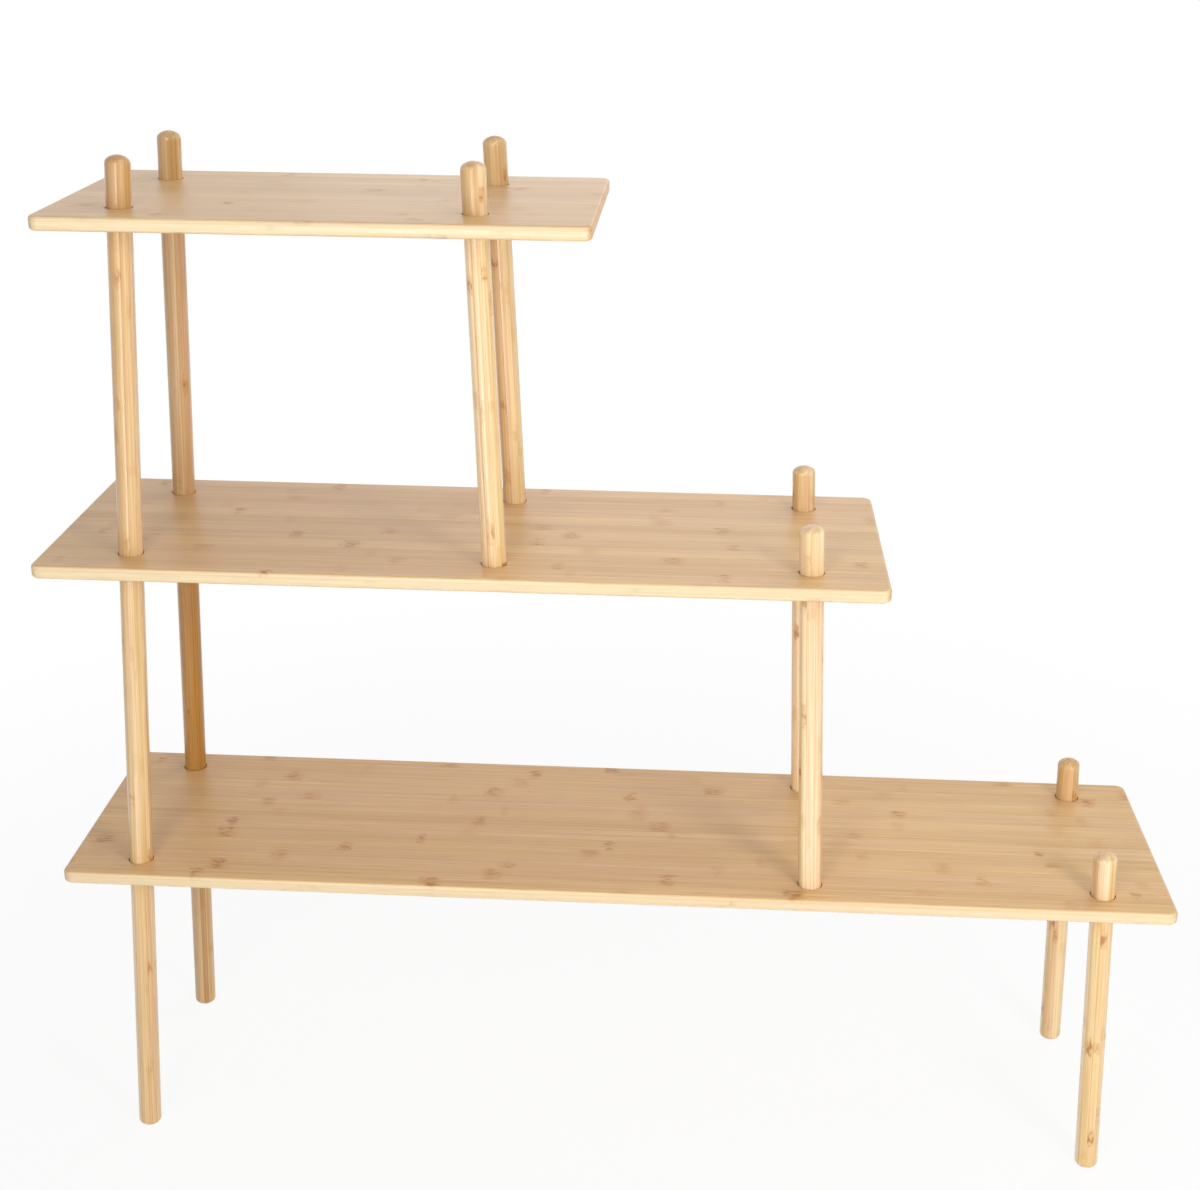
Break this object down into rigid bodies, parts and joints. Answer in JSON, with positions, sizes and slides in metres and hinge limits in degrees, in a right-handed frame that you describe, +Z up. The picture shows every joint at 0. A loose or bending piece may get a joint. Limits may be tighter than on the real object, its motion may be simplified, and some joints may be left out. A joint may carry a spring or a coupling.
{
  "type": "plant shelf",
  "caption": "Free-standing stepped plant rack: boards of falling length, lined up at the left, on leaning round posts with round-topped finials.",
  "frame": {"origin": "centre of the rack's footprint box, on the floor that the legs stand on", "axes": "+Z up, +X along the shelves away from the tall end, +Y from the front to the back"},
  "size_m": [1, 0.25, 0.918],
  "materials": {
    "board_bamboo": "edge-glued bamboo strips under clear satin lacquer",
    "post_bamboo": "turned laminated bamboo under clear satin lacquer",
    "zinc_plated_steel": "bright zinc plate",
    "insert_brass": "plain turned brass"
  },
  "bodies": {
    "root": {"bottom_board": "board_bamboo", "middle_board": "board_bamboo", "top_board": "board_bamboo", "leg_left_front": "post_bamboo", "leg_left_back": "post_bamboo", "leg_right_front": "post_bamboo", "leg_right_back": "post_bamboo", "lower_post_left_front": "post_bamboo", "lower_post_left_back": "post_bamboo", "lower_post_mid_front": "post_bamboo", "lower_post_mid_back": "post_bamboo", "upper_post_left_front": "post_bamboo", "upper_post_left_back": "post_bamboo", "upper_post_right_front": "post_bamboo", "upper_post_right_back": "post_bamboo", "finial_bottom_front": "post_bamboo", "finial_bottom_back": "post_bamboo", "finial_middle_front": "post_bamboo", "finial_middle_back": "post_bamboo", "finial_top_left_front": "post_bamboo", "finial_top_left_back": "post_bamboo", "finial_top_right_front": "post_bamboo", "finial_top_right_back": "post_bamboo", "joining_bolts": "zinc_plated_steel", "threaded_inserts": "insert_brass", "post_screws": "zinc_plated_steel", "screw_washers": "zinc_plated_steel"}
  },
  "joints": []
}
